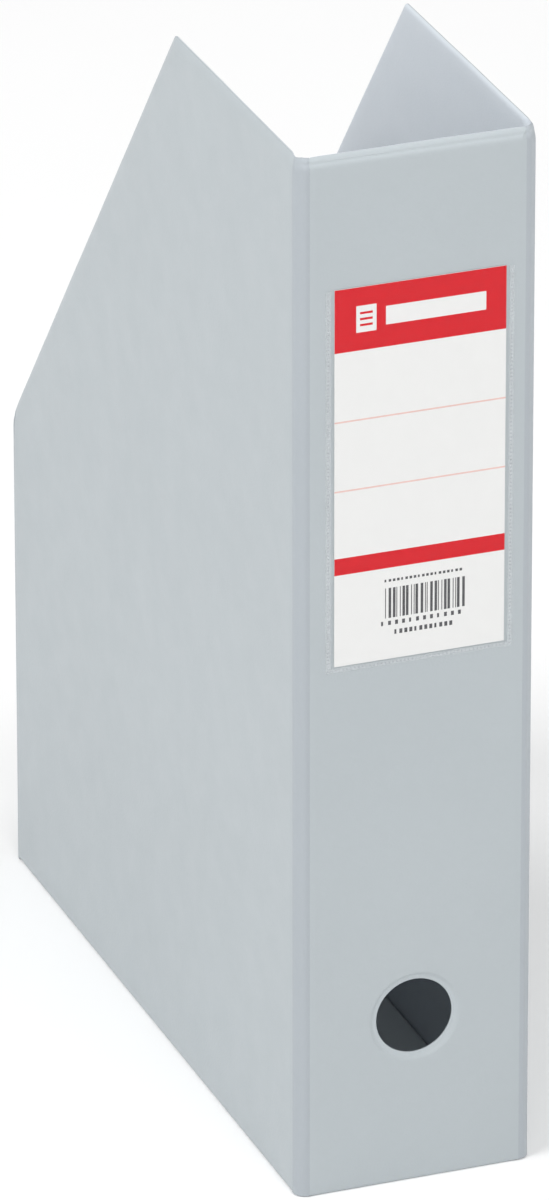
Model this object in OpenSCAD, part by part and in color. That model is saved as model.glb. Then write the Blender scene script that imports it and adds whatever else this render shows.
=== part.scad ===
// Collapsible magazine file: four foil-covered boards hinged into a tube, with a bottom flap,
// a finger hole and a label pocket on the spine.
// Millimetres. Origin at the bottom centre, +Z up, the spine faces -Y, the left side is at -X.

/* [Overall size] */
// Width across the spine
body_w = 72; // [62:1:110]
// Depth from the label pocket's face to the back
body_d = 242; // [225:1:270]
// Height of the spine and of the side's top edge
body_h = 320; // [300:1:340]
// Height of the back wall
back_h = 144.5; // [100:0.5:200]
// Distance from the spine's face to the point where the slanted edge starts
peak_run = 98.5; // [60:0.5:150]

/* [Panels] */
// Thickness of a finished panel
wall = 2.4; // [2:0.1:3]
// Thickness of one foil
foil = 0.25; // [0.15:0.05:0.4]
// Width of the welded margin round a board
weld_margin = 3; // [1:0.1:4]
// Width of the welded margin along the top of the spine and of the back wall
top_margin = 3.5; // [1:0.1:5]
// Radius of a panel's lower corners
corner_r = 1.5; // [0.5:0.5:4]

/* [Hinges] */
// Outer radius of the foil web round a corner, and the width of the rounded corner
web_r = 4; // [3.5:0.1:5]
// Thickness of a foil web
web_t = 0.6; // [0.4:0.1:0.8]
// Width of the welded flange that closes the tube
flange_w = 14; // [8:1:20]

/* [Bottom flap] */
// Clearance between the flap and the spine
flap_front_gap = 0.6; // [0.4:0.1:1.5]
// Clearance between the flap and the back wall
flap_back_gap = 3.6; // [3.4:0.1:8]
// Clearance between the flap and each side
flap_side_gap = 0.4; // [0.3:0.1:1]
// Height of the left side's lower edge, which leaves room for the flap's web under it
left_lift = 0.5; // [0.4:0.05:0.8]
// Thickness of the flap's web
flap_web_t = 0.35; // [0.25:0.05:0.35]
// Distance from the left side's outer face to the edge of the flap's web
flap_web_in = 0.5; // [0.3:0.1:1]

/* [Finger hole] */
// Diameter of the finger hole
hole_d = 23; // [18:0.5:30]
// Height of the finger hole's centre
hole_z = 51.8; // [40:0.1:80]
// Width of the welded ring round the hole
ring_w = 3.5; // [2.5:0.1:5]

/* [Label] */
// Width of the label card
card_w = 51; // [40:0.2:54]
// Height of the label card
card_h = 114.4; // [80:0.2:130]
// Height of the card's lower edge
card_z = 165.5; // [120:0.5:170]
// How far the card's centre line lies to the right of the spine's centre line
card_shift = 0.6; // [-1:0.1:1]
// Thickness of the card
card_t = 0.25; // [0.2:0.05:0.3]
// Thickness of the pocket's film
film = 0.2; // [0.15:0.05:0.25]
// Width of the pocket's welded edges
pocket_weld = 2; // [1:0.1:2.2]

/* [Hidden] */
$fn = 96;

// Colours of the foil outside, foil inside, board, hinge foil, film and card
outer_colour = [0.75, 0.78, 0.80];
inner_colour = [0.72, 0.75, 0.78];
board_colour = [0.55, 0.53, 0.50];
web_colour = [0.68, 0.71, 0.74];
film_colour = [0.90, 0.92, 0.95, 0.4];
card_colour = [0.93, 0.93, 0.92];

// The label stack stands this far proud of the spine
card_gap = 0.1;
label_proud = card_t + film + 2 * card_gap;

// Outer faces of the tube
face_x = body_w / 2;
front_y = -body_d / 2 + label_proud;
back_y = body_d / 2;
mid_y = (front_y + back_y) / 2;
half_d = (back_y - front_y) / 2;

// Ends of the rigid panels, where the rounded hinge corners start
end_x = face_x - web_r;
end_y = half_d - web_r;
// Gap that keeps neighbouring bodies apart at the corners
part_gap = 0.05;

// Slanted edge of a side: where it starts, and its drop for each millimetre of run
peak_y = -half_d + peak_run;
slant = (body_h - back_h) / (half_d - peak_y);

// Boards sit in the middle of the wall
board_t = wall - 2 * foil;
board_inset_hinge = 1.4;

// Outer and inner radius of the ring that is welded round the finger hole, and its thickness
hole_r = hole_d / 2;
ring_r = hole_r + ring_w;
ring_t = 0.8;
ring_slope = 2.6;

// Pocket outline: the card with a little room, and the welds round it
card_room = 0.6;
pocket_in_w = card_w + 2 * card_room;
pocket_w = pocket_in_w + 2 * pocket_weld;
pocket_h = card_h + pocket_weld;

// Hinge webs stop this far short of the floor
web_lift = 0.4;
// The welded flange stops this far short of the floor and of the back wall's top
flange_inset = 3.5;

// Distance across the tube, for a cutter that reaches past everything
far = 400;

// ---------------------------------------------------------------- outlines

// Side panel outline in (depth, height), inset by m on the free edges and by e on the hinge edges.
// Its lower edge is at the height lift.
function side_points(m, e, lift) =
    let (q = sqrt(1 + slant * slant))
    [
        [-end_y + e, lift + m],
        [-end_y + e, body_h - m],
        [peak_y - m * (q - 1) / slant, body_h - m],
        [end_y - e, body_h - slant * (end_y - e - peak_y) - m * q],
        [end_y - e, lift + m]
    ];

// A square corner with a quarter circle cut out of it, for rounding a panel's lower corner
module corner_waste(r) {
    difference() {
        translate([-1, -1]) square(r + 1);
        translate([r, r]) circle(r);
    }
}

module side_outline(m, e, lift) {
    difference() {
        polygon(side_points(m, e, lift));
        translate([-end_y + e, lift + m]) corner_waste(corner_r);
        translate([end_y - e, lift + m]) mirror([1, 0]) corner_waste(corner_r);
    }
}

// Outline of the spine or back wall, inset by m on its lower edge, by t on its top and by e on the hinge edges
module upright_outline(height, m, t, e) {
    difference() {
        translate([-end_x + e, m]) square([2 * (end_x - e), height - m - t]);
        translate([-end_x + e, m]) corner_waste(corner_r);
        translate([end_x - e, m]) mirror([1, 0]) corner_waste(corner_r);
    }
}

flap_x1 = face_x - wall - flap_side_gap;
flap_y0 = -half_d + wall + flap_front_gap;
flap_y1 = half_d - wall - flap_back_gap;

module flap_outline(m) {
    w = 2 * (flap_x1 - m);
    d = flap_y1 - flap_y0 - 2 * m;
    translate([-flap_x1 + m, flap_y0 + m])
        difference() {
            square([w, d]);
            translate([w, 0]) mirror([1, 0]) corner_waste(corner_r);
            translate([w, d]) rotate(180) corner_waste(corner_r);
        }
}

// ---------------------------------------------------------------- panel layers
// Each layer is built lying flat with the panel's outer face at height 0 and its inner face at
// height wall, then stood up on its side of the tube. Children 0 and 1 are the outlines of the
// whole panel and of its board.

module board_layer() {
    translate([0, 0, foil]) linear_extrude(board_t) children(1);
}

module cover_layer() {
    difference() {
        linear_extrude(wall / 2) children(0);
        translate([0, 0, foil]) linear_extrude(wall) children(1);
    }
}

module lining_layer() {
    difference() {
        translate([0, 0, wall / 2]) linear_extrude(wall / 2) children(0);
        translate([0, 0, -foil]) linear_extrude(wall) children(1);
    }
}

module layer(kind) {
    if (kind == "board") board_layer() { children(0); children(1); }
    if (kind == "cover") cover_layer() { children(0); children(1); }
    if (kind == "lining") lining_layer() { children(0); children(1); }
}

// Puts a flat layer on the left side of the tube, its outline's first axis along +Y
module stand_left() {
    translate([-face_x, mid_y, 0])
        rotate([90, 0, 90]) children();
}

// Puts a flat layer on the front of the tube, its outline's first axis along +X
module stand_front() {
    translate([0, front_y, 0])
        mirror([0, 1, 0]) rotate([90, 0, 0]) children();
}

module side_layer(kind, lift) {
    stand_left()
        layer(kind) {
            side_outline(0, 0, lift);
            side_outline(weld_margin, board_inset_hinge, lift);
        }
}

module spine_layer(kind) {
    stand_front()
        difference() {
            layer(kind) {
                upright_outline(body_h, 0, 0, 0);
                upright_outline(body_h, weld_margin, top_margin, board_inset_hinge);
            }
            translate([0, hole_z, -1]) cylinder(r = ring_r, h = wall + 2);
        }
}

module back_layer(kind) {
    translate([0, mid_y, 0])
        mirror([0, 1, 0])
            translate([0, -mid_y, 0])
                stand_front()
                    layer(kind) {
                        upright_outline(back_h, 0, 0, 0);
                        upright_outline(back_h, weld_margin, top_margin, board_inset_hinge);
                    }
}

module flap_layer(kind) {
    translate([0, mid_y, 0])
        layer(kind) {
            flap_outline(0);
            flap_outline(weld_margin);
        }
}

// ---------------------------------------------------------------- hinge webs

// A quarter tube of foil round the vertical corner at (sx, sy), from height z0 to z1
module corner_web(sx, sy, z0, z1) {
    translate([sx * (face_x - web_r), mid_y + sy * (half_d - web_r), z0])
        mirror([sx < 0 ? 1 : 0, 0, 0])
            mirror([0, sy < 0 ? 1 : 0, 0])
                intersection() {
                    difference() {
                        cylinder(r = web_r, h = z1 - z0);
                        translate([0, 0, -1]) cylinder(r = web_r - web_t, h = z1 - z0 + 2);
                    }
                    translate([part_gap, part_gap, -1]) cube([2 * web_r, 2 * web_r, far]);
                }
}

// ---------------------------------------------------------------- sub-parts

module left_side_board() { color(board_colour) side_layer("board", left_lift); }
module left_side_cover() { color(outer_colour) side_layer("cover", left_lift); }
module left_side_lining() { color(inner_colour) side_layer("lining", left_lift); }

module right_side_board() { color(board_colour) mirror([1, 0, 0]) side_layer("board", 0); }
module right_side_cover() { color(outer_colour) mirror([1, 0, 0]) side_layer("cover", 0); }
module right_side_lining() { color(inner_colour) mirror([1, 0, 0]) side_layer("lining", 0); }

module spine_board() { color(board_colour) spine_layer("board"); }
module spine_cover() { color(outer_colour) spine_layer("cover"); }
module spine_lining() { color(inner_colour) spine_layer("lining"); }

module back_wall_board() { color(board_colour) back_layer("board"); }
module back_wall_cover() { color(outer_colour) back_layer("cover"); }
module back_wall_lining() { color(inner_colour) back_layer("lining"); }

module bottom_board() { color(board_colour) flap_layer("board"); }
module bottom_cover() { color(outer_colour) flap_layer("cover"); }
module bottom_lining() { color(inner_colour) flap_layer("lining"); }

module front_left_hinge() { color(web_colour) corner_web(-1, -1, web_lift, body_h); }
module front_right_hinge() { color(web_colour) corner_web(1, -1, web_lift, body_h); }
module back_left_hinge() { color(web_colour) corner_web(-1, 1, web_lift, back_h); }
module back_right_hinge() { color(web_colour) corner_web(1, 1, web_lift, back_h); }

// Flat foil strip that runs under the left side's lower edge to the flap's lower edge
module bottom_hinge() {
    strip_x = -face_x + flap_web_in;
    color(web_colour)
        translate([strip_x, mid_y + flap_y0 + corner_r, part_gap])
            cube([-flap_x1 - part_gap - strip_x, flap_y1 - flap_y0 - 2 * corner_r, flap_web_t]);
}

// Foil strip that lies on the right side's inner face behind the back wall's hinge
module seam_flange() {
    color(web_colour)
        translate([face_x - wall - part_gap - web_t, mid_y + end_y - flange_w, flange_inset])
            cube([web_t, flange_w, back_h - 2 * flange_inset]);
}

// Ring of welded foil in the finger hole, thin at the hole and as thick as the wall at its outer edge
module finger_hole_rim() {
    half_ring = ring_t / 2;
    color(outer_colour)
        translate([0, front_y + wall / 2, hole_z])
            rotate([90, 0, 0])
                rotate_extrude()
                    polygon([
                        [hole_r, -half_ring], [ring_r - ring_slope, -half_ring],
                        [ring_r, -wall / 2], [ring_r, wall / 2],
                        [ring_r - ring_slope, half_ring], [hole_r, half_ring]
                    ]);
}

// Film over the card, welded to the spine on the left, right and lower edges and open at the top
module label_pocket() {
    color(film_colour)
        translate([card_shift, front_y, card_z])
            difference() {
                translate([-pocket_w / 2, -label_proud, -pocket_weld])
                    cube([pocket_w, label_proud, pocket_h]);
                translate([-pocket_in_w / 2, -label_proud + film, 0])
                    cube([pocket_in_w, label_proud, pocket_h]);
            }
}

module label_card() {
    color(card_colour)
        translate([card_shift - card_w / 2, front_y - card_gap - card_t, card_z + part_gap])
            cube([card_w, card_t, card_h - part_gap]);
}

left_side_board();
left_side_cover();
left_side_lining();
right_side_board();
right_side_cover();
right_side_lining();
spine_board();
spine_cover();
spine_lining();
back_wall_board();
back_wall_cover();
back_wall_lining();
bottom_board();
bottom_cover();
bottom_lining();
front_left_hinge();
front_right_hinge();
back_left_hinge();
back_right_hinge();
bottom_hinge();
seam_flange();
finger_hole_rim();
label_pocket();
label_card();
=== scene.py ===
"""Foil-covered magazine file: welded foils, hinge webs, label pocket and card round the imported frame."""
import math

import bmesh
import bpy
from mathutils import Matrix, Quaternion, Vector
from mathutils.geometry import tessellate_polygon


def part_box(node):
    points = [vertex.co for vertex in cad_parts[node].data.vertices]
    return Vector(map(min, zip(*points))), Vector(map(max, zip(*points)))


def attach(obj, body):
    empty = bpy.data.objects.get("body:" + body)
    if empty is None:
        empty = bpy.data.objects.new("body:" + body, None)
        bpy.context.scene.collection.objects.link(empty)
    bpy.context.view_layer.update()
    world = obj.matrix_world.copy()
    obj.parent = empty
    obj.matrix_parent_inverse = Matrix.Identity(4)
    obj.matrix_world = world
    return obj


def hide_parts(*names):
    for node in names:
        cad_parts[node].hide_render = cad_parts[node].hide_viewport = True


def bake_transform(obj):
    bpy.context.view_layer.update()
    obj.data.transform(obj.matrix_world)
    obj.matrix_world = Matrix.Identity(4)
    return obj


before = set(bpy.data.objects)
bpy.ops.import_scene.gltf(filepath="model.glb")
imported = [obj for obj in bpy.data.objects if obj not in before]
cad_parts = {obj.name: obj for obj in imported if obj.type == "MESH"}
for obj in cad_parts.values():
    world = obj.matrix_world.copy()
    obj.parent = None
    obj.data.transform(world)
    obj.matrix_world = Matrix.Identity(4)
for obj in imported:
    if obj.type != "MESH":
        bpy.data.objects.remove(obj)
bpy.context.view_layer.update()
MM = 0.001

# ---------------------------------------------------------------- sizes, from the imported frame
# X runs across the spine, Y from the spine to the back wall, and Z up.

SPINE_LO, SPINE_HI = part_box("spine_cover")
FACE_X = -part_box("left_side_cover")[0].x
FRONT_Y = SPINE_LO.y
BACK_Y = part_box("back_wall_cover")[1].y
MID_Y = (FRONT_Y + BACK_Y) / 2
TOP_Z = SPINE_HI.z
BACK_TOP_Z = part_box("back_wall_cover")[1].z
SIDE_LO, SIDE_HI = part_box("left_side_cover")
FLAP_LO, FLAP_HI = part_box("bottom_cover")
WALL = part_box("spine_lining")[1].y - FRONT_Y
# The flat panels end at END_X and END_Y, and the round corner webs run from there to the next panel
END_X = SPINE_HI.x
CORNER = FACE_X - END_X
END_Y = (SIDE_HI.y - SIDE_LO.y) / 2
HALF_D = END_Y + CORNER

# The slanted edge starts at the rearmost point of the side's level top edge
LEVEL_TOLERANCE = 0.01 * MM
SIDE_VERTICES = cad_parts["left_side_cover"].data.vertices
PEAK_Y = max(v.co.y for v in SIDE_VERTICES if v.co.z > TOP_Z - LEVEL_TOLERANCE)
SLANT = (TOP_Z - BACK_TOP_Z) / (BACK_Y - PEAK_Y)

RIM_LO, RIM_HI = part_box("finger_hole_rim")
HOLE_Z = (RIM_LO.z + RIM_HI.z) / 2
RING_R = (RIM_HI.z - RIM_LO.z) / 2
CARD_LO, CARD_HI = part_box("label_card")
POCKET_LO, POCKET_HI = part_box("label_pocket")
FLANGE_LO, FLANGE_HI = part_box("seam_flange")
STRIP_LO, STRIP_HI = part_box("bottom_hinge")

# ---------------------------------------------------------------- edge profiles
# Heights are measured from the middle of the wall, in millimetres, positive towards the outside. HALF is the
# panel's face, FLAT is just under it, and FOIL is the foil's thickness.

HALF = WALL / MM / 2
FLAT = HALF - 0.005
FOIL = 0.24
# Along a free edge the outer foil slopes in to a narrow weld and the inner foil stays almost flat:
# (inset, height of the outer foil, depth of the inner foil). The top of an upright has a wider weld with a
# pressed groove on both faces, and an edge on the floor hardly narrows.
FREE_EDGE = [
    (0.00, 0.24, 0.20), (0.08, 0.34, 0.36), (0.25, 0.42, 0.56), (0.60, 0.52, 0.80), (1.00, 0.63, 0.93),
    (1.50, 0.75, 1.01), (2.10, 0.87, 1.06), (2.70, 0.97, 1.10), (3.10, 1.03, 1.13), (3.60, 1.10, 1.15),
    (4.30, 1.16, 1.18), (5.20, HALF, HALF),
]
TOP_EDGE = [
    (0.00, 0.22, 0.22), (0.12, 0.38, 0.38), (0.40, 0.50, 0.50), (0.90, 0.62, 0.62), (1.40, 0.68, 0.68),
    (1.70, 0.52, 0.52), (2.00, 0.50, 0.50), (2.40, 0.66, 0.66), (2.90, 0.95, 0.95), (3.40, 1.13, 1.13),
    (4.20, 1.18, 1.18), (5.20, HALF, HALF),
]
FOOT_EDGE = [
    (0.00, 0.72, 0.72), (0.08, 0.86, 0.86), (0.25, 0.98, 0.98), (0.60, 1.06, 1.06), (1.00, 1.10, 1.10),
    (1.50, 1.12, 1.12), (2.10, 1.14, 1.14), (2.70, 1.155, 1.155), (3.10, 1.17, 1.17), (3.60, 1.18, 1.18),
    (4.30, 1.19, 1.19), (5.20, HALF, HALF),
]
# (kind of edge, its rows, how many of them are welded)
FREE_KINDS = (("free", FREE_EDGE, 4), ("top", TOP_EDGE, 7), ("foot", FOOT_EDGE, 2))
PINCHED = {"free": FREE_EDGE, "top": TOP_EDGE}
# The depth below the face at which foil counts as fully welded, and how much each kind of weld shows as a
# smoother, paler seam. The paleness is partly the weld's own tone and partly a painted highlight.
SEAM_DEPTH = 0.7 * MM
SEAM_AND_HIGHLIGHT_SHARE = {"free": 0.3, "top": 1.0}


def dip(kind, inset):
    """How far below the flat face the outer foil lies at this distance in from a free edge."""
    edge = PINCHED[kind]
    x = max(0.0, inset / MM)
    for (x0, h0, _), (x1, h1, _) in zip(edge, edge[1:]):
        if x < x1:
            return (HALF - h0 - (h1 - h0) * (x - x0) / (x1 - x0)) * MM
    return 0.0


# ---------------------------------------------------------------- mesh helpers


# (weight, turn per millimetre, share of the seed in the phase) of the waves that make an edge uneven
WAVES = ((1.0, 0.071, 1.0), (0.6, 0.163, 2.1), (0.3, 0.41, 1.0))
WAVES_PEAK = 1.9


def wobble(position, seed, size):
    """A smooth, fixed unevenness along an edge, for outlines cut and welded by hand."""
    s = position / MM
    waves = sum(weight * math.sin(s * rate + phase * seed) for weight, rate, phase in WAVES)
    return size * waves / WAVES_PEAK


def line_crossing(p, d, q, e):
    """Where the line through p along d meets the line through q along e."""
    cross = d[0] * e[1] - d[1] * e[0]
    t = ((q[0] - p[0]) * e[1] - (q[1] - p[1]) * e[0]) / cross
    return (p[0] + d[0] * t, p[1] + d[1] * t)


def ease(x):
    """Rises smoothly from 0 to 1 as x goes from 0 to 1."""
    x = max(0.0, min(1.0, x))
    return x * x * (3 - 2 * x)


SHORT_EDGE, SHORT_STEP, LONG_STEP = 12 * MM, 1.2 * MM, 6 * MM
END_STOPS = (0.4, 0.9, 1.5, 2.2, 3.0, 3.9, 5.0)


def edge_shares(length):
    """Shares of an edge's length at which it is divided: finely near its ends, then in even steps."""
    if length < SHORT_EDGE:
        count = max(2, round(length / SHORT_STEP))
        return [k / count for k in range(1, count)]
    ends = [d * MM / length for d in END_STOPS]
    count = max(1, round(length / LONG_STEP))
    middle = [ends[-1] + (1 - 2 * ends[-1]) * k / count for k in range(1, count)]
    return ends + middle + [1 - e for e in reversed(ends)]


class Outline:
    """A convex outline, anticlockwise. corners are (u, v, fillet radius, kind of the edge that follows).
    Edges of the strong kind, such as hinges, also shape what lies within reach of them."""

    ARC_STEPS = 6
    SMALLEST_FILLET = 0.04 * MM
    UNEVEN_DEPTH = 4 * MM

    def __init__(self, corners, strong=None, reach=4 * MM, seed=0.0, uneven=0.0):
        self.points = [Vector(c[:2]) for c in corners]
        self.radii = [c[2] for c in corners]
        self.kinds = [c[3] for c in corners]
        self.strong = strong
        self.seed = seed
        self.uneven = uneven
        self.reach = reach
        self.directions = []
        self.shares = []
        for a, b in zip(self.points, self.points[1:] + self.points[:1]):
            self.directions.append((b - a).normalized())
            self.shares.append(edge_shares((b - a).length))

    def inward(self, i):
        """The direction from edge i into the outline."""
        return Vector((-self.directions[i].y, self.directions[i].x))

    def share(self, point, row):
        """How much a point of this row is shaped by the strong kind of edge."""
        if not self.strong:
            return 0.0
        lines = [i for i, kind in enumerate(self.kinds) if kind == self.strong]
        distance = min((point - self.points[i]).dot(self.inward(i)) for i in lines)
        return 1 - ease((distance - row[self.strong][0]) / self.reach)

    def pinch(self, point):
        """How far the free edges near this point draw the outer foil in."""
        insets = [(kind, (point - self.points[i]).dot(self.inward(i))) for i, kind in enumerate(self.kinds)]
        return max([dip(kind, inset) for kind, inset in insets if kind in PINCHED], default=0.0)

    def ring(self, row):
        """The closed loop of (u, v, kind, share of the strong kind, pinch) at this row's insets."""
        shifted = [p + self.inward(i) * row[self.kinds[i]][0] for i, p in enumerate(self.points)]
        arcs = []
        for i, radius in enumerate(self.radii):
            d0, d1 = self.directions[i - 1], self.directions[i]
            corner = Vector(line_crossing(shifted[i - 1], d0, shifted[i], d1))
            inset = min(row[self.kinds[i - 1]][0], row[self.kinds[i]][0])
            arcs.append(self.fillet(corner, d0, d1, max(radius - inset, self.SMALLEST_FILLET)))
        loop = []
        for i, arc in enumerate(arcs):
            kind = self.kinds[i]
            nearest = self.kinds[i - 1] if kind == self.strong else kind
            loop += [(p, nearest) for p in arc]
            loop += [(p, nearest) for p in self.between(i, arc[-1], arcs[(i + 1) % len(arcs)][0], row)]
        return [(p.x, p.y, kind, self.share(p, row), self.pinch(p)) for p, kind in loop]

    def fillet(self, corner, d0, d1, radius):
        """Points round the arc that joins direction d0 to d1 at a corner."""
        turn = math.acos(max(-1.0, min(1.0, d0.dot(d1))))
        centre = corner - d0 * radius * math.tan(turn / 2) + Vector((-d0.y, d0.x)) * radius
        start = math.atan2(-d0.x, d0.y)
        angles = [start + turn * k / self.ARC_STEPS for k in range(self.ARC_STEPS + 1)]
        return [centre + Vector((math.cos(a), math.sin(a))) * radius for a in angles]

    def between(self, i, a, b, row):
        """Points along edge i from a to b, slightly uneven near a free or top edge."""
        kind = self.kinds[i]
        size = self.uneven * max(0.0, 1 - row[kind][0] / self.UNEVEN_DEPTH) if kind in PINCHED else 0.0
        points = []
        for t in self.shares[i]:
            p = a.lerp(b, t)
            shift = wobble(p.x + 1.7 * p.y, self.seed + i, size) * math.sin(math.pi * t)
            points.append(p - self.inward(i) * shift)
        return points


def height_at(row, kind, strong, share, pinch, column):
    """The height in a row. The strong kind's height is drawn in where a free edge pinches the foils."""
    if not share:
        return row[kind][column]
    height = row[strong][column]
    height -= pinch * (height + WALL / 2) / WALL
    return row[kind][column] * (1 - share) + height * share


def new_object(name, bm, smooth_angle=35):
    """A linked object with outward normals, its edges kept sharp where they turn more than smooth_angle."""
    bmesh.ops.recalc_face_normals(bm, faces=bm.faces[:])
    if bm.calc_volume(signed=True) < 0:
        bmesh.ops.reverse_faces(bm, faces=bm.faces[:])
    mesh = bpy.data.meshes.new(name)
    bm.to_mesh(mesh)
    bm.free()
    mesh.shade_smooth()
    mesh.set_sharp_from_angle(angle=math.radians(smooth_angle))
    obj = bpy.data.objects.new(name, mesh)
    bpy.context.scene.collection.objects.link(obj)
    return obj


def bridge(bm, low_ring, high_ring):
    """Joins two closed loops of as many vertices by a band of quads."""
    count = len(low_ring)
    for j in range(count):
        k = (j + 1) % count
        bm.faces.new((low_ring[j], low_ring[k], high_ring[k], high_ring[j]))


def cap(bm, loops):
    """Closes a flat region bounded by the first loop, less the holes that the other loops bound. Turning the
    edges between its triangles does away with those that have no area."""
    flat = [v for loop in loops for v in loop]
    triangles = tessellate_polygon([[v.co.copy() for v in loop] for loop in loops])
    faces = [bm.faces.new([flat[i] for i in triangle]) for triangle in triangles]
    edges = list(dict.fromkeys(edge for face in faces for edge in face.edges if len(edge.link_faces) == 2))
    bmesh.ops.beautify_fill(bm, faces=faces, edges=edges)


def shell(name, outline, rows, place, hole=None, full=0.0):
    """A closed thin shell: each row gives, for each kind of edge, (inset, upper height, lower height).
    place turns (u, v, height) into a point. hole is (u, v, radius, steps). Where full is the height of
    the flat part, each vertex also says how much it belongs to a pressed seam."""
    bm = bmesh.new()
    seam = bm.verts.layers.float.new("seam")
    upper, lower = [], []
    for row in rows:
        high_loop, low_loop = [], []
        for u, v, kind, share, pinch in outline.ring(row):
            high = height_at(row, kind, outline.strong, share, pinch, 1)
            low = height_at(row, kind, outline.strong, share, pinch, 2)
            pressed = min(1.0, max(0.0, (full - max(abs(high), abs(low))) / SEAM_DEPTH))
            for loop, height in ((high_loop, high), (low_loop, low)):
                vert = bm.verts.new(place(u, v, height))
                vert[seam] = pressed * SEAM_AND_HIGHLIGHT_SHARE.get(kind, 0.0)
                loop.append(vert)
        upper.append(high_loop)
        lower.append(low_loop)
    for side in (upper, lower):
        for outer, inner in zip(side, side[1:]):
            bridge(bm, outer, inner)
    bridge(bm, lower[0], upper[0])
    caps = [[upper[-1]], [lower[-1]]]
    if hole:
        circles = hole_circles(bm, hole, rows[-1], place)
        bridge(bm, *circles)
        caps[0].append(circles[0])
        caps[1].append(circles[1])
    for loops in caps:
        cap(bm, loops)
    return new_object(name, bm)


def hole_circles(bm, hole, row, place):
    """The hole's edge on both faces. In the last row every kind of edge has the flat part's heights."""
    u, v, radius, steps = hole
    heights = next(iter(row.values()))
    circles = []
    for column in (1, 2):
        circle = []
        for k in range(steps):
            a = 2 * math.pi * k / steps
            point = place(u + radius * math.cos(a), v + radius * math.sin(a), heights[column])
            circle.append(bm.verts.new(point))
        circles.append(circle)
    return circles


# ---------------------------------------------------------------- panels

# Half of what is left between two welded foils, so that their solids stay apart
WELD_GAP = 0.004
# Along a hinge the inner foil comes out to the web: (inset, outer foil, inner foil)
HINGE_EDGE = [
    (0.00, 1.09, 0.80), (0.08, 1.10, 0.74), (0.20, 1.11, 0.60), (0.35, 1.12, 0.32),
    (0.50, 1.13, -0.10), (0.70, 1.145, -0.57), (0.90, 1.155, -0.90), (1.10, 1.17, -1.09),
    (1.30, 1.185, -1.175), (1.42, FLAT, -FLAT), (2.00, HALF, -HALF), (3.00, HALF, -HALF),
]
# The height at which the foils meet in the first rows along a hinge
HINGE_WELD = (0.95, 0.92, 0.855)


def panel_rows(layer):
    """Rows of a cover (the outer foil) or a lining (the inner one): its face and its board side."""
    rows = []
    for n, (hinge_in, hinge_out, hinge_lining) in enumerate(HINGE_EDGE):
        row = {}
        for kind, edge, welded_rows in FREE_KINDS:
            inset, outer, inner = edge[n]
            face = outer if layer == "cover" else inner
            back = WELD_GAP if n < welded_rows else face - FOIL
            row[kind] = (inset, face, back) if layer == "cover" else (inset, -back, -face)
        welded = n < len(HINGE_WELD)
        if layer == "cover":
            back = HINGE_WELD[n] + WELD_GAP if welded else hinge_out - FOIL
            row["hinge"] = (hinge_in, hinge_out, back)
        else:
            back = HINGE_WELD[n] - WELD_GAP if welded else hinge_lining + FOIL
            row["hinge"] = (hinge_in, back, hinge_lining)
        rows.append({kind: tuple(x * MM for x in values) for kind, values in row.items()})
    return rows


# How far a panel's lower edge turns up before its corner, and the radii of the corners
TOE_RUN = 3.2 * MM
TOE_RISE = 0.3 * MM
TOE_R = 6 * MM
TIP_R = 0.5 * MM
PEAK_R = 1.2 * MM
FLAP_R = 3 * MM
# How far the front shoulders lie below the level top edge
SHOULDER_DROP = 0.3 * MM


def upright_corners(half_width, bottom, top):
    """A spine or back wall: a hinge on both long edges, a wide weld on top, a foot with turned-up toes."""
    return [
        (-half_width + TOE_RUN, bottom, TOE_R, "foot"),
        (half_width - TOE_RUN, bottom, TOE_R, "foot"),
        (half_width, bottom + TOE_RISE, TIP_R, "hinge"),
        (half_width, top, TIP_R, "top"),
        (-half_width, top, TIP_R, "hinge"),
        (-half_width, bottom + TOE_RISE, TIP_R, "foot"),
    ]


def side_corners(bottom):
    """A side: a hinge in front and behind, a foot with turned-up toes, and a free edge that runs level from
    the lowered front shoulder and then down the slant."""
    front, back = MID_Y - END_Y, MID_Y + END_Y
    back_z = TOP_Z - SLANT * (back - PEAK_Y)
    return [
        (front + TOE_RUN, bottom, TOE_R, "foot"),
        (back - TOE_RUN, bottom, TOE_R, "foot"),
        (back, bottom + TOE_RISE, TIP_R, "hinge"),
        (back, back_z, TIP_R, "free"),
        (PEAK_Y, TOP_Z, PEAK_R, "free"),
        (front + TOE_RUN, TOP_Z, TOE_R, "free"),
        (front, TOP_Z - SHOULDER_DROP, TIP_R, "hinge"),
        (front, bottom + TOE_RISE, TIP_R, "foot"),
    ]


def flap_corners():
    """The bottom flap: free edges all round, its two swinging corners rounded."""
    return [
        (FLAP_LO.x, FLAP_LO.y, TIP_R, "free"),
        (FLAP_HI.x, FLAP_LO.y, FLAP_R, "free"),
        (FLAP_HI.x, FLAP_HI.y, FLAP_R, "free"),
        (FLAP_LO.x, FLAP_HI.y, TIP_R, "free"),
    ]


UNEVEN = 0.10 * MM
RING_STEPS = 96
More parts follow.
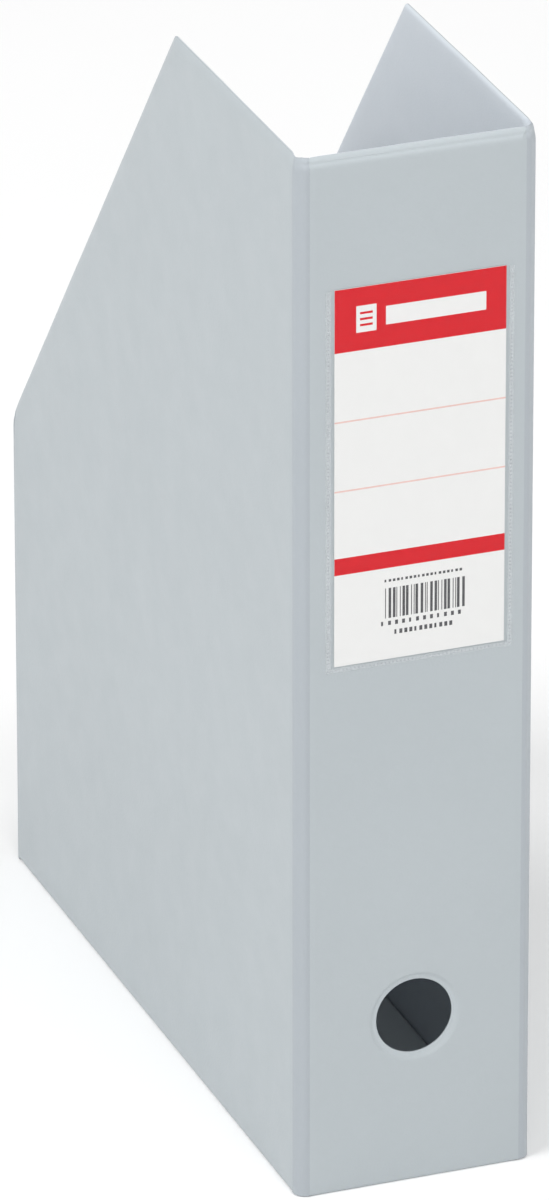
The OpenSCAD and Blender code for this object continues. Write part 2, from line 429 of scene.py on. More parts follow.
# panel: (outline, the place of (u, v, height), the finger hole)
PANELS = {
    "left_side": (
        Outline(side_corners(SIDE_LO.z), "hinge", seed=0.4, uneven=UNEVEN),
        lambda u, v, h: (-FACE_X + WALL / 2 - h, u, v),
        None,
    ),
    "right_side": (
        Outline(side_corners(0.0), "hinge", seed=1.9, uneven=UNEVEN),
        lambda u, v, h: (FACE_X - WALL / 2 + h, u, v),
        None,
    ),
    "spine": (
        Outline(upright_corners(END_X, 0.0, TOP_Z), "hinge", seed=3.1, uneven=UNEVEN),
        lambda u, v, h: (u, FRONT_Y + WALL / 2 - h, v),
        (0.0, HOLE_Z, RING_R, RING_STEPS),
    ),
    "back_wall": (
        Outline(upright_corners(END_X, 0.0, BACK_TOP_Z), "hinge", seed=4.6, uneven=UNEVEN),
        lambda u, v, h: (u, BACK_Y - WALL / 2 + h, v),
        None,
    ),
    "bottom": (
        Outline(flap_corners(), seed=5.8, uneven=UNEVEN / 2),
        lambda u, v, h: (u, v, WALL / 2 - h),
        None,
    ),
}

# The covers take the outer foil, and so does the flap's upper face inside the file. There its darker colour
# is painted shade that dims the view into the file.
OUTER_FOILS_AND_SHADED_FLAP = {f"{panel}_cover" for panel in PANELS} | {"bottom_lining"}


def make_panels():
    """Each panel's outer foil (cover) and inner foil (lining) round its CAD board, by CAD node."""
    made = {}
    for panel, (outline, place, hole) in PANELS.items():
        for layer in ("cover", "lining"):
            node = f"{panel}_{layer}"
            piece = shell(f"{node}_foil", outline, panel_rows(layer), place, hole, full=WALL / 2)
            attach(piece, panel)
            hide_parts(node)
            made[node] = piece
    return made


# ---------------------------------------------------------------- hinge webs

WEB_STEPS = 20
WEB_RISE_STEP = 5 * MM
# A web's two long edges run this far in under the panels, and lie this much lower on both faces
WEB_TUCK = 0.1 * MM
WEB_TUCK_STEP = 0.01 * MM
# Outer radius and thickness beside the panels and between them, and the share of the arc where they change
WEB_EDGE_R = CORNER - 0.12 * MM
WEB_FULL_R = CORNER - 0.05 * MM
WEB_EDGE_T = 0.25 * MM
WEB_FULL_T = 0.5 * MM
WEB_EDGE_SHARE = 0.2
# The crease down the middle: its depth, its half width as a share of the arc, and where it begins
CREASE_DEPTH = 0.34 * MM
CREASE_SHARE = 0.36
CREASE_START, CREASE_FULL = 9 * MM, 16 * MM
# The lower edge, the rounding at both ends, the levels below the top in millimetres, and the height they take
WEB_LOW_Z = 0.15 * MM
WEB_LIP = 0.12 * MM
WEB_LIP_IN = 0.8 * WEB_LIP
WEB_TOP_STEPS = (5.2, 4.2, 3.4, 2.9, 2.4, 2.0, 1.7, 1.4, 0.9, 0.4, 0.12)
WEB_TOP_H = 5.8 * MM
# The share of the top weld's pinch that the inner face follows, and of the arc over which a shoulder rises
WEB_INNER_PINCH = 0.85
SHOULDER_SHARE = 0.9


def web_radii(share, height):
    """Outer and inner radius of a web at a share of its arc; the crease dies out above the floor."""
    rise = ease(min(share, 1 - share) / WEB_EDGE_SHARE)
    crease = CREASE_DEPTH * (1 - ease(abs(share - 0.5) / CREASE_SHARE))
    crease *= ease((height - CREASE_START) / (CREASE_FULL - CREASE_START))
    outer = WEB_EDGE_R + (WEB_FULL_R - WEB_EDGE_R) * rise - crease
    return outer, outer - WEB_EDGE_T - (WEB_FULL_T - WEB_EDGE_T) * rise


def web_levels(top, steps):
    """(height, how far the web's two faces close in there) from the web's lower edge to its top."""
    levels = [(WEB_LOW_Z, WEB_LIP_IN), (WEB_LOW_Z + WEB_LIP, 0)]
    levels += [(WEB_LOW_Z + (top - WEB_LOW_Z - WEB_TOP_H) * j / steps, 0) for j in range(1, steps)]
    levels += [(top - d * MM, 0) for d in WEB_TOP_STEPS]
    return levels + [(top, WEB_LIP_IN)]


def web_pinch(share, below):
    """How far the weld along the top draws a web in, at a share of its arc and a depth below its top."""
    return dip("free", below) * (1 - share) + dip("top", below) * share


def corner_web(name, sx, sy, bodies, top_at):
    """A foil web round the vertical corner at (sx, sy). top_at gives its top's height from the place along Y
    and from how far round it is, from 0 at the side to 1 at the spine or back wall."""
    centre = Vector((sx * END_X, MID_Y + sy * END_Y))
    stations = [(0.0, -WEB_TUCK)] + [(k / WEB_STEPS, 0.0) for k in range(WEB_STEPS + 1)] + [(1.0, WEB_TUCK)]
    steps = round((top_at(centre.y, 0.5) - WEB_LOW_Z) / WEB_RISE_STEP)
    bm = bmesh.new()
    seam = bm.verts.layers.float.new("seam")
    outer_columns, inner_columns = [], []
    for share, tuck in stations:
        angle = share * math.pi / 2
        radial = Vector((sx * math.cos(angle), sy * math.sin(angle)))
        along = Vector((-sx * math.sin(angle), sy * math.cos(angle)))
        outer_column, inner_column = [], []
        foot = centre + radial * CORNER
        step_in = WEB_TUCK_STEP if tuck else 0.0
        top = top_at(foot.y, share)
        for height, lip in web_levels(top, steps):
            outer, inner = web_radii(share, height)
            pinch = web_pinch(share, top - height)
            outer -= pinch + lip + step_in
            inner -= pinch * WEB_INNER_PINCH - lip / 2 - step_in
            for column, radius in ((outer_column, outer), (inner_column, inner)):
                p = centre + radial * radius + along * tuck
                vert = bm.verts.new((p.x, p.y, height))
                vert[seam] = min(1.0, pinch / SEAM_DEPTH) * (SEAM_AND_HIGHLIGHT_SHARE["free"] * (1 - share) + share)
                column.append(vert)
        outer_columns.append(outer_column)
        inner_columns.append(inner_column)
    levels = len(outer_columns[0])
    loop = outer_columns + inner_columns[::-1]
    for a, b in zip(loop, loop[1:] + loop[:1]):
        for j in range(levels - 1):
            bm.faces.new((a[j], b[j], b[j + 1], a[j + 1]))
    for level in (0, levels - 1):
        for k in range(len(stations) - 1):
            bm.faces.new((outer_columns[k][level], outer_columns[k + 1][level],
                          inner_columns[k + 1][level], inner_columns[k][level]))
    piece = new_object(f"{name}_foil", bm)
    start = (sx * FACE_X, MID_Y + sy * END_Y, 0)
    end = (sx * END_X, MID_Y + sy * HALF_D, 0)
    if bodies[1] in ("left_side", "right_side", "flange"):
        start, end = end, start
    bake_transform(piece)
    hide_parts(name)
    return piece


def slant_top(y, share):
    """The top of a back web, which carries on the sides' slant."""
    return BACK_TOP_Z + SLANT * max(0.0, BACK_Y - y)


def level_top(y, share):
    """The top of a front web, which rises from the side's lowered shoulder to the spine."""
    return TOP_Z - SHOULDER_DROP * (1 - ease(share / SHOULDER_SHARE))


def make_webs():
    return [
        corner_web("front_left_hinge", -1, -1, ("left_side", "spine"), level_top),
        corner_web("front_right_hinge", 1, -1, ("spine", "right_side"), level_top),
        corner_web("back_left_hinge", -1, 1, ("left_side", "back_wall"), slant_top),
        corner_web("back_right_hinge", 1, 1, ("back_wall", "flange"), slant_top),
    ]


# The strip from the left side to the flap: (distance from its outer edge, height of its middle), in
# millimetres, its thickness, its divisions along Y, and how far from its outer edge it has turned
STRIP_PATH = ((0.0, 0.28), (0.35, 0.25), (0.7, 0.24), (1.1, 0.24), (1.5, 0.26), (1.9, 0.36),
              (2.2, 0.62), (2.4, 1.0), (2.7, 1.2))
STRIP_T = 0.28 * MM
STRIP_STEPS = 40


def make_bottom_web():
    """The strip that runs under the left side's lower seam and up to the flap's edge."""
    bm = bmesh.new()
    columns = []
    for side in (1, -1):
        for out, z in STRIP_PATH:
            points = []
            for j in range(STRIP_STEPS + 1):
                y = STRIP_LO.y + (STRIP_HI.y - STRIP_LO.y) * j / STRIP_STEPS
                points.append(bm.verts.new((STRIP_LO.x + out * MM, y, z * MM + side * STRIP_T / 2)))
            columns.append(points)
    count = len(STRIP_PATH)
    loop = columns[:count] + columns[count:][::-1]
    for a, b in zip(loop, loop[1:] + loop[:1]):
        for j in range(STRIP_STEPS):
            bm.faces.new((a[j], b[j], b[j + 1], a[j + 1]))
    for level in (0, -1):
        for k in range(count - 1):
            upper, lower = columns[k], columns[count + k]
            upper_next, lower_next = columns[k + 1], columns[count + k + 1]
            bm.faces.new((upper[level], upper_next[level], lower_next[level], lower[level]))
    piece = new_object("bottom_hinge_foil", bm)
    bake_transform(piece)
    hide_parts("bottom_hinge")
    return piece


# (inset, height) of the flange's seen face with its two pressed weld lines, the height that lies at the CAD
# flange's seen face, and the depth of its hidden face under that, all in millimetres
FLANGE_SECTION = ((0, 0.12), (0.1, 0.24), (0.3, 0.28), (1.2, 0.28), (1.4, 0.20), (1.6, 0.14), (2.2, 0.14),
                  (2.4, 0.20), (2.6, 0.28), (3.4, 0.30), (3.6, 0.22), (3.8, 0.18), (4.2, 0.18), (4.5, 0.28))
FLANGE_FULL = 0.3
FLANGE_BACK = 0.58
FLANGE_FRONT_R = 2 * MM
FLANGE_BACK_R = 0.5 * MM
FLANGE_UNEVEN = 0.15 * MM


def make_flange():
    """The flap of foil on the right side's inner face, which closes the tube with two pressed weld lines."""
    rows = []
    for inset, high in FLANGE_SECTION:
        rows.append({"free": (inset * MM, (high - FLANGE_FULL) * MM, -FLANGE_BACK * MM)})
    corners = [
        (FLANGE_LO.y, FLANGE_LO.z, FLANGE_FRONT_R, "free"),
        (FLANGE_HI.y, FLANGE_LO.z, FLANGE_BACK_R, "free"),
        (FLANGE_HI.y, FLANGE_HI.z, FLANGE_BACK_R, "free"),
        (FLANGE_LO.y, FLANGE_HI.z, FLANGE_FRONT_R, "free"),
    ]
    outline = Outline(corners, seed=2.2, uneven=FLANGE_UNEVEN)
    piece = shell("seam_flange_foil", outline, rows, lambda u, v, h: (FLANGE_LO.x - h, u, v))
    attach(piece, "flange")
    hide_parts("seam_flange")
    return piece


# ---------------------------------------------------------------- finger hole

# How much the welded ring round the finger hole is paled like a weld: partly its own tone, partly a painted
# highlight.
RING_SEAM_AND_HIGHLIGHT_SHARE = 0.35
RING_SMOOTH_ANGLE = 50
# (distance from the ring's outer edge, half thickness) across the welded ring, in millimetres
RING_SECTION = ((0.0, 1.195), (0.35, 1.19), (0.8, 1.175), (1.15, 1.13), (1.4, 1.03), (1.65, 0.88),
                (1.9, 0.71), (2.15, 0.58), (2.45, 0.50), (2.8, 0.46), (3.2, 0.44), (3.4, 0.34), (3.5, 0.16))


def make_rim():
    """The welded ring through the spine, in which both foils meet."""
    bm = bmesh.new()
    seam = bm.verts.layers.float.new("seam")
    half = [(RING_R - step * MM, h * MM) for step, h in RING_SECTION]
    section = half + [(r, -h) for r, h in reversed(half)]
    middle = FRONT_Y + WALL / 2
    loops = []
    for k in range(RING_STEPS):
        a = 2 * math.pi * k / RING_STEPS
        loop = [bm.verts.new((r * math.cos(a), middle - h, HOLE_Z + r * math.sin(a))) for r, h in section]
        for vert, (_, h) in zip(loop, section):
            vert[seam] = min(1.0, (WALL / 2 - abs(h)) / SEAM_DEPTH) * RING_SEAM_AND_HIGHLIGHT_SHARE
        loops.append(loop)
    for k in range(RING_STEPS):
        bridge(bm, loops[k], loops[(k + 1) % RING_STEPS])
    piece = new_object("finger_hole_rim_foil", bm, RING_SMOOTH_ANGLE)
    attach(piece, "spine")
    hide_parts("finger_hole_rim")
    return piece


# ---------------------------------------------------------------- label pocket and card

# (inset from a welded edge, height above the spine there, inset from the open edge), in millimetres
POCKET_SECTION = ((0.0, 0.10, 0.0), (0.1, 0.17, 0.05), (0.3, 0.20, 0.1), (1.3, 0.20, 0.15),
                  (1.6, 0.26, 0.2), (1.9, 0.40, 0.3), (2.2, 0.54, 0.5), (2.6, 0.62, 1.0))
# The weld's width and its height, the corners' radii, how far the open edge shapes what lies beside it, the
# film's thickness, and what it keeps clear of the spine and of the CAD pocket's face
POCKET_WELD = 1.7 * MM
POCKET_WELD_H = 0.2 * MM
POCKET_LOW_R = 1.0 * MM
POCKET_HIGH_R = 0.3 * MM
POCKET_REACH = 0.6 * MM
FILM_T = 0.16 * MM
FILM_GAP = 0.02 * MM


def make_pocket():
    """Clear film, welded down on three sides and open at the top, standing off just enough for the card."""
    stand = FRONT_Y - POCKET_LO.y - FILM_GAP
    rows = []
    for weld_in, weld_high, top_in in POCKET_SECTION:
        high = min(weld_high * MM, stand)
        rows.append({
            "weld": (weld_in * MM, high, high - FILM_T if high > POCKET_WELD_H else FILM_GAP),
            "open": (top_in * MM, stand, stand - FILM_T),
        })
    corners = [
        (POCKET_LO.x, POCKET_LO.z, POCKET_LOW_R, "weld"),
        (POCKET_HI.x, POCKET_LO.z, POCKET_LOW_R, "weld"),
        (POCKET_HI.x, POCKET_HI.z, POCKET_HIGH_R, "open"),
        (POCKET_LO.x, POCKET_HI.z, POCKET_HIGH_R, "weld"),
    ]
    outline = Outline(corners, "open", reach=POCKET_REACH)
    piece = shell("label_pocket_film", outline, rows, lambda u, v, h: (u, FRONT_Y - h, v))
    for face in piece.data.polygons:
        x, z = face.center.x, face.center.z
        inset = min(x - POCKET_LO.x, POCKET_HI.x - x, z - POCKET_LO.z)
        face.material_index = 1 if inset < POCKET_WELD else 0
    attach(piece, "spine")
    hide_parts("label_pocket")
    return piece


# The weld's dots: their pitch, the radius and height of a dome, how far in from the pocket's edge they lie,
# how far their foot lies in front of the spine and their root behind the foot, and the divisions of a dome
BEAD_PITCH = 1.15 * MM
BEAD_R = 0.34 * MM
BEAD_H = 0.14 * MM
BEAD_IN = 0.8 * MM
BEAD_BASE = 0.19 * MM
BEAD_ROOT = 0.05 * MM
BEAD_SIDES, BEAD_LEVELS = 8, 3
BEAD_SMOOTH_ANGLE = 60


def make_pocket_beads():
    """The dotted weld that holds the film down on its left, right and lower edges: one low dome per dot."""
    left, right = POCKET_LO.x + BEAD_IN, POCKET_HI.x - BEAD_IN
    bottom, top = POCKET_LO.z + BEAD_IN, POCKET_HI.z - BEAD_IN
    spots = []
    for k in range(int((top - bottom) / BEAD_PITCH) + 1):
        spots += [(left, bottom + k * BEAD_PITCH), (right, bottom + k * BEAD_PITCH)]
    for k in range(1, int((right - left) / BEAD_PITCH)):
        spots.append((left + k * BEAD_PITCH, bottom))
    base = FRONT_Y - BEAD_BASE
    angles = [2 * math.pi * k / BEAD_SIDES for k in range(BEAD_SIDES)]
    bm = bmesh.new()
    for u, v in spots:
        tip = bm.verts.new((u, base - BEAD_H, v))
        foot = bm.verts.new((u, base + BEAD_ROOT, v))
        loops = []
        for n in range(1, BEAD_LEVELS + 1):
            lean = math.pi / 2 * n / BEAD_LEVELS
            r, y = BEAD_R * math.sin(lean), base - BEAD_H * math.cos(lean)
            loops.append([bm.verts.new((u + r * math.cos(a), y, v + r * math.sin(a))) for a in angles])
        for k in range(BEAD_SIDES):
            m = (k + 1) % BEAD_SIDES
            bm.faces.new((tip, loops[0][k], loops[0][m]))
            bm.faces.new((foot, loops[-1][m], loops[-1][k]))
        for a, b in zip(loops, loops[1:]):
            bridge(bm, a, b)
    piece = new_object("label_pocket_weld_dots", bm, BEAD_SMOOTH_ANGLE)
    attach(piece, "spine")
    return piece


# Places down the card from its top edge, and across it from its left edge, in millimetres
HEADER_H = 19.0
RULES = (39.7, 60.7)
RULE_H = 0.45
BAR_TOP, BAR_BOTTOM = 81.3, 86.4
CODE_TOP, CODE_BOTTOM = 92.6, 101.8
CODE_LEFT, CODE_RIGHT = 15.2, 39.6
CODE_UNIT = 0.26
CODE_MARGIN = 0.9
# (top, bottom, left, right) of the page icon and of the plain strip in the header, then the icon's lines
ICON = (5.6, 13.6, 6.4, 12.4)
HEADER_STRIP = (6.8, 12.4, 15.2, 45.0)
ICON_LINES = (7.5, 9.3, 11.1)
ICON_LINE_H = 0.7
ICON_LINE_LEFT, ICON_LINE_RIGHT = 7.5, 11.3
# (top, bottom, left, right, pitch, inked share of the pitch) of the rows of small print
SMALL_PRINT = (
    (89.9, 90.7, 15.0, 39.0, 1.25, 0.62),
    (102.7, 104.0, 14.0, 39.6, 2.1, 0.42),
    (105.6, 107.0, 18.0, 36.0, 1.5, 0.6),
)
SHORT_DASH = 0.7
PRINT_DECIMALS = 2
PAPER, RED, PINK, GREY = range(4)


def code_bars():
    """Left and right edges of a plain striped block, its stripes set by a fixed rule and not by any code."""
    bars = []
    x = CODE_LEFT
    n = 0
    while x < CODE_RIGHT - CODE_MARGIN:
        width = CODE_UNIT * (1 + (n * 7 + n * n * 3) % 4)
        gap = CODE_UNIT * (1 + (n * 5 + 2) % 3)
        bars.append((x, min(x + width, CODE_RIGHT)))
        x += width + gap
        n += 1
    return bars


def dashes(left, right, pitch, share):
    """A row of short plain strokes that stands for small print, every fourth one shorter."""
    row = []
    for k in range(int((right - left) / pitch)):
        start = left + k * pitch
        row.append((start, start + pitch * (share if k % 4 else share * SHORT_DASH)))
    return row


def card_print():
    """Rectangles of print: (top, bottom, left, right, material index), later ones on top of earlier ones."""
    width = (CARD_HI.x - CARD_LO.x) / MM
    marks = [(0.0, HEADER_H, 0.0, width, RED)]
    marks += [(rule, rule + RULE_H, 0.0, width, PINK) for rule in RULES]
    marks.append((BAR_TOP, BAR_BOTTOM, 0.0, width, RED))
    marks.append((*ICON, PAPER))
    marks += [(line, line + ICON_LINE_H, ICON_LINE_LEFT, ICON_LINE_RIGHT, RED) for line in ICON_LINES]
    marks.append((*HEADER_STRIP, PAPER))
    marks += [(CODE_TOP, CODE_BOTTOM, left, right, GREY) for left, right in code_bars()]
    for top, bottom, *row in SMALL_PRINT:
        marks += [(top, bottom, left, right, GREY) for left, right in dashes(*row)]
    return marks


def grid_lines(edges, size):
    """The card's edges and those of the print, rounded so that no two lines all but coincide."""
    return sorted({round(edge, PRINT_DECIMALS) for edge in edges} | {0.0, round(size, PRINT_DECIMALS)})


def make_card():
    """The card: its front is cut along the edges of the print, so each printed area is its own faces."""
    width, height = (CARD_HI.x - CARD_LO.x) / MM, (CARD_HI.z - CARD_LO.z) / MM
    marks = card_print()
    xs = grid_lines([x for m in marks for x in m[2:4]], width)
    zs = grid_lines([z for m in marks for z in m[0:2]], height)
    bm = bmesh.new()
    front, back = CARD_LO.y, CARD_HI.y
    grid = [[bm.verts.new((CARD_LO.x + x * MM, front, CARD_HI.z - z * MM)) for x in xs] for z in zs]
    for i in range(len(zs) - 1):
        for j in range(len(xs) - 1):
            face = bm.faces.new((grid[i][j], grid[i][j + 1], grid[i + 1][j + 1], grid[i + 1][j]))
            x, z = (xs[j] + xs[j + 1]) / 2, (zs[i] + zs[i + 1]) / 2
            for top, bottom, left, right, ink in marks:
                if top < z < bottom and left < x < right:
                    face.material_index = ink
    rim = grid[0] + [row[-1] for row in grid[1:]] + grid[-1][-2::-1] + [row[0] for row in grid[-2:0:-1]]
    behind = [bm.verts.new((v.co.x, back, v.co.z)) for v in rim]
    bridge(bm, rim, behind)
    bm.faces.new(behind)
    piece = new_object("label_card_print", bm)
    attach(piece, "label_card")
    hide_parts("label_card")
    return piece


# ---------------------------------------------------------------- materials
# Colours are linear RGB. A noise's numbers are its scale per metre, its detail and its roughness.

OUTER_COLOUR = (0.399, 0.437, 0.457)
# The inner foil is much lighter than the outer foil: painted light that makes up for the shade inside the
# file.
INNER_LIGHTENED_COLOUR = (0.573, 0.616, 0.659)
# The hinge webs' foil, also used on the bottom strip and the flange, is darker than the outer foil: painted
# shade along the rounded corners.
WEB_SHADED_COLOUR = (0.358, 0.390, 0.418)
FILM_COLOUR, FILM_ALPHA, FILM_GRAIN = (0.42, 0.44, 0.46), 0.012, 45
WELD_COLOUR, WELD_ALPHA, WELD_GRAIN = (0.74, 0.77, 0.79), 0.16, 600
PAPER_COLOUR = (0.718, 0.718, 0.710)
RED_COLOUR = (0.575, 0.014, 0.021)
PINK_COLOUR = (0.70, 0.46, 0.42)
GREY_COLOUR = (0.09, 0.09, 0.095)
FIBRE_DARK, FIBRE_PALE, FLECK_COLOUR = (0.21, 0.19, 0.17), (0.33, 0.31, 0.28), (0.12, 0.11, 0.10)
FLOOR_DARK, FLOOR_PALE = (0.94, 0.94, 0.94), (0.96, 0.96, 0.96)
# The foil's darkest and palest tone, and that of its welds, against its colour. The welds' paler tone is
# partly their own and partly a painted highlight along the upward-facing top bands.
TONE_LOW, TONE_HIGH, SEAM_TONE_AND_HIGHLIGHT = 0.987, 1.011, 1.22
# Heights of the bumps
FOIL_WAVE_H, FOIL_GRAIN_H, FOIL_FINE_H = 0.07 * MM, 0.035 * MM, 0.02 * MM
BOARD_H = 0.08 * MM
PAPER_H = 0.003 * MM
FILM_RIPPLE_H = 0.1 * MM


class Nodes:
    """A material's node tree with short calls for the nodes that the finishes below share."""

    def __init__(self, name):
        self.material = bpy.data.materials.new(name)
        self.material.use_nodes = True
        self.tree = self.material.node_tree
        self.shader = self.tree.nodes["Principled BSDF"]
        self.place = self.tree.nodes.new("ShaderNodeTexCoord").outputs["Object"]

    def link(self, source, target):
        self.tree.links.new(source, target)

    def noise(self, scale, detail, roughness):
        node = self.tree.nodes.new("ShaderNodeTexNoise")
        node.inputs["Scale"].default_value = scale
        node.inputs["Detail"].default_value = detail
        node.inputs["Roughness"].default_value = roughness
        self.link(self.place, node.inputs["Vector"])
        return node.outputs["Fac"]

    def cells(self, scale):
        node = self.tree.nodes.new("ShaderNodeTexVoronoi")
        node.feature = "SMOOTH_F1"
        node.inputs["Scale"].default_value = scale
        self.link(self.place, node.inputs["Vector"])
        return node.outputs["Distance"]

    def attribute(self, name):
        node = self.tree.nodes.new("ShaderNodeAttribute")
        node.attribute_name = name
        return node.outputs["Fac"]

    def spread(self, source, low, high, from_low=0.3, from_high=0.7):
        node = self.tree.nodes.new("ShaderNodeMapRange")
        node.inputs["From Min"].default_value = from_low
        node.inputs["From Max"].default_value = from_high
        node.inputs["To Min"].default_value = low
        node.inputs["To Max"].default_value = high
        self.link(source, node.inputs["Value"])
        return node.outputs["Result"]

    def maths(self, operation, a, b):
        node = self.tree.nodes.new("ShaderNodeMath")
        node.operation = operation
        for socket, value in zip(node.inputs, (a, b)):
            if isinstance(value, (int, float)):
                socket.default_value = value
            else:
                self.link(value, socket)
        return node.outputs["Value"]

    def mix(self, share, first, second):
        node = self.tree.nodes.new("ShaderNodeMix")
        node.data_type = "RGBA"
        self.link(share, node.inputs["Factor"])
        for socket, value in ((node.inputs["A"], first), (node.inputs["B"], second)):
            if isinstance(value, tuple):
                socket.default_value = (*value, 1)
            else:
                self.link(value, socket)
        return node.outputs["Result"]

    def bump(self, height, distance, below=None):
        node = self.tree.nodes.new("ShaderNodeBump")
        node.inputs["Distance"].default_value = distance
        self.link(height, node.inputs["Height"])
        if below:
            self.link(below, node.inputs["Normal"])
        return node.outputs["Normal"]


def shade(colour, factor):
    """A colour made paler or darker."""
    return tuple(c * factor for c in colour)


def foil_material(name, colour, roughness=0.46):
    """Embossed PVC foil: fine grain, faint waves from the board under it, and smoother welds. The welds'
    paler colour is partly their own tone and partly a painted highlight.
    """
    m = Nodes(name)
    clouds = m.noise(16, 3, 0.55)
    specks = m.noise(420, 2, 0.6)
    tone = m.maths("ADD", m.maths("MULTIPLY", clouds, 0.75), m.maths("MULTIPLY", specks, 0.25))
    base = m.mix(m.spread(tone, 0, 1, 0.35, 0.65), shade(colour, TONE_LOW), shade(colour, TONE_HIGH))
    seam = m.attribute("seam")
    base = m.mix(m.spread(seam, 0, 0.8, 0.1, 0.9), base, shade(colour, SEAM_TONE_AND_HIGHLIGHT))
    m.link(base, m.shader.inputs["Base Color"])
    rough = m.spread(m.noise(90, 4, 0.6), roughness - 0.05, roughness + 0.06)
    rough = m.maths("SUBTRACT", rough, m.maths("MULTIPLY", seam, 0.08))
    m.link(rough, m.shader.inputs["Roughness"])
    waves = m.bump(m.noise(22, 1, 0.4), FOIL_WAVE_H)
    grain = m.bump(m.cells(1500), FOIL_GRAIN_H, waves)
    fine = m.bump(m.noise(3800, 2, 0.6), FOIL_FINE_H, grain)
    m.link(fine, m.shader.inputs["Normal"])
    m.shader.inputs["Specular IOR Level"].default_value = 0.42
    return m.material


def board_material():
    """Greyboard: mottled recycled fibres with darker flecks."""
    m = Nodes("greyboard")
    mottle = m.mix(m.spread(m.noise(260, 5, 0.7), 0, 1), FIBRE_DARK, FIBRE_PALE)
    flecks = m.spread(m.noise(2400, 2, 0.5), 0, 0.5, 0.5, 0.75)
    m.link(m.mix(flecks, mottle, FLECK_COLOUR), m.shader.inputs["Base Color"])
    m.link(m.spread(m.noise(700, 3, 0.6), 0.82, 0.95), m.shader.inputs["Roughness"])
    m.link(m.bump(m.noise(1500, 4, 0.7), BOARD_H), m.shader.inputs["Normal"])
    return m.material


def card_material(name, colour, roughness=0.55, ink_spread=0.03):
    """Printed card: a faint fibre texture, with ink that varies a little in density."""
    m = Nodes(name)
    density = m.spread(m.noise(700, 3, 0.6), 0, 1)
    ink = m.mix(density, shade(colour, 1 - ink_spread), shade(colour, 1 + ink_spread))
    m.link(ink, m.shader.inputs["Base Color"])
    m.link(m.spread(m.noise(500, 3, 0.6), roughness - 0.06, roughness + 0.06), m.shader.inputs["Roughness"])
    m.link(m.bump(m.noise(2600, 3, 0.6), PAPER_H), m.shader.inputs["Normal"])
    m.shader.inputs["Specular IOR Level"].default_value = 0.1
    return m.material


def film_material(name, colour, alpha, grain):
    """Clear pocket film with a soft sheen. grain is the scale of its ripples; a weld has fine ones and is
    cloudier."""
    m = Nodes(name)
    tint = m.mix(m.spread(m.noise(60, 2, 0.5), 0, 1), shade(colour, 0.95), shade(colour, 1.05))
    m.link(tint, m.shader.inputs["Base Color"])
    m.link(m.spread(m.noise(120, 3, 0.6), 0.16, 0.30), m.shader.inputs["Roughness"])
    m.link(m.bump(m.noise(grain, 2, 0.5), FILM_RIPPLE_H), m.shader.inputs["Normal"])
    m.shader.inputs["Specular IOR Level"].default_value = 0.3
    m.shader.inputs["Alpha"].default_value = alpha
    return m.material


def floor_material():
    """A plain pale floor."""
    m = Nodes("pale_floor")
    m.link(m.mix(m.spread(m.noise(3, 2, 0.5), 0, 1), FLOOR_DARK, FLOOR_PALE), m.shader.inputs["Base Color"])
    m.shader.inputs["Roughness"].default_value = 0.9
    return m.material


def paint(panels, webs, rim, pocket, beads, card):
    """Gives every piece and every CAD board its material. The card's follow the order PAPER to GREY."""
    outer = foil_material("outer_foil", OUTER_COLOUR)
    # The linings' lighter colour is painted light for the file's shaded interior.
    inner = foil_material("inner_foil", INNER_LIGHTENED_COLOUR, 0.5)
    # The webs' darker colour is painted shade along the hinge corners.
    web = foil_material("hinge_foil", WEB_SHADED_COLOUR, 0.44)
    board = board_material()
    for node, piece in panels.items():
        piece.data.materials.append(outer if node in OUTER_FOILS_AND_SHADED_FLAP else inner)
    for piece in webs:
        piece.data.materials.append(web)
    rim.data.materials.append(outer)
    pocket.data.materials.append(film_material("clear_film", FILM_COLOUR, FILM_ALPHA, FILM_GRAIN))
    weld = film_material("film_weld", WELD_COLOUR, WELD_ALPHA, WELD_GRAIN)
    pocket.data.materials.append(weld)
    beads.data.materials.append(weld)
    card.data.materials.append(card_material("card_paper", PAPER_COLOUR, ink_spread=0.012))
    card.data.materials.append(card_material("card_red", RED_COLOUR, roughness=0.5, ink_spread=0.05))
    card.data.materials.append(card_material("card_pink", PINK_COLOUR))
    card.data.materials.append(card_material("card_grey", GREY_COLOUR, roughness=0.6, ink_spread=0.10))
    for name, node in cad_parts.items():
        if name.endswith("_board"):
            node.data.materials.clear()
            node.data.materials.append(board)


# ---------------------------------------------------------------- camera, floor and light

CAMERA_AZIMUTH = math.radians(-20.631)
CAMERA_ELEVATION = math.radians(24.602)
CAMERA_ROLL = math.radians(0.0758)
CAMERA_DISTANCE = 3.3532
CAMERA_TARGET = Vector((0.00273, 0.0, 0.13012))
CAMERA_LENS = 346.3
CAMERA_SENSOR = 36
CAMERA_REACH = 50


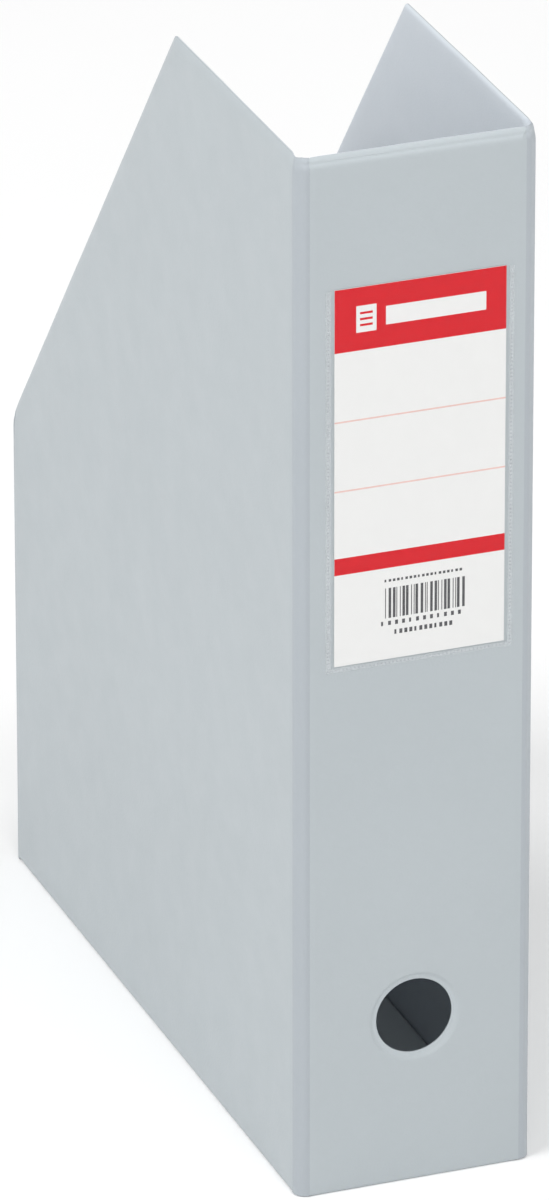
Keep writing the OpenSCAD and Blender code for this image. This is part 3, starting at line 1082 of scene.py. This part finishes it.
def make_camera():
    """The camera at the photograph's viewing angle."""
    a, e = CAMERA_AZIMUTH, CAMERA_ELEVATION
    back = Vector((math.sin(a) * math.cos(e), -math.cos(a) * math.cos(e), math.sin(e)))
    camera = bpy.data.objects.new("camera", bpy.data.cameras.new("camera"))
    bpy.context.scene.collection.objects.link(camera)
    camera.location = CAMERA_TARGET + back * CAMERA_DISTANCE
    camera.rotation_mode = "QUATERNION"
    roll = Quaternion((0, 0, 1), -CAMERA_ROLL)
    camera.rotation_quaternion = (-back).to_track_quat("-Z", "Y") @ roll
    camera.data.lens = CAMERA_LENS
    camera.data.sensor_width = CAMERA_SENSOR
    camera.data.clip_end = CAMERA_REACH
    bpy.context.scene.camera = camera


FLOOR_SIZE = 6
FLOOR_Z = -0.1 * MM
WORLD_STRENGTH = 0.47
LIGHT_TARGET = Vector((0, 0, 0.16))
# (name, place, diameter in metres, power in watts)
LIGHTS = (
    ("key", (-2.9, -0.9, 3.1), 2.1, 74),
    ("left_rear", (-1.8, 1.4, 2.4), 1.6, 22),
    ("front_top", (0.3, -1.8, 2.8), 1.8, 18),
    ("front_low", (-0.8, -2.9, 1.4), 1.8, 25),
    ("right_side", (2.6, -0.7, 1.2), 1.6, 20),
)


def area_light(name, location, size, power):
    """A round soft light that faces the middle of the object."""
    data = bpy.data.lights.new(name, "AREA")
    data.shape = "DISK"
    data.size = size
    data.energy = power
    light = bpy.data.objects.new(name, data)
    light.location = location
    light.rotation_mode = "QUATERNION"
    light.rotation_quaternion = (LIGHT_TARGET - Vector(location)).to_track_quat("-Z", "Y")
    bpy.context.scene.collection.objects.link(light)


def make_studio():
    """The floor just under the object, even light from all round, and the lamps."""
    bm = bmesh.new()
    bmesh.ops.create_grid(bm, x_segments=8, y_segments=8, size=FLOOR_SIZE)
    floor = new_object("floor", bm)
    floor.location.z = FLOOR_Z
    floor.data.materials.append(floor_material())
    world = bpy.data.worlds.new("studio")
    world.use_nodes = True
    world.node_tree.nodes["Background"].inputs["Color"].default_value = (1, 1, 1, 1)
    world.node_tree.nodes["Background"].inputs["Strength"].default_value = WORLD_STRENGTH
    bpy.context.scene.world = world
    for light in LIGHTS:
        area_light(*light)
    bpy.context.scene.view_settings.view_transform = "Standard"


# ---------------------------------------------------------------- the whole object

panels = make_panels()
webs = make_webs() + [make_bottom_web(), make_flange()]
rim = make_rim()
pocket = make_pocket()
beads = make_pocket_beads()
card = make_card()
paint(panels, webs, rim, pocket, beads, card)
make_camera()
make_studio()
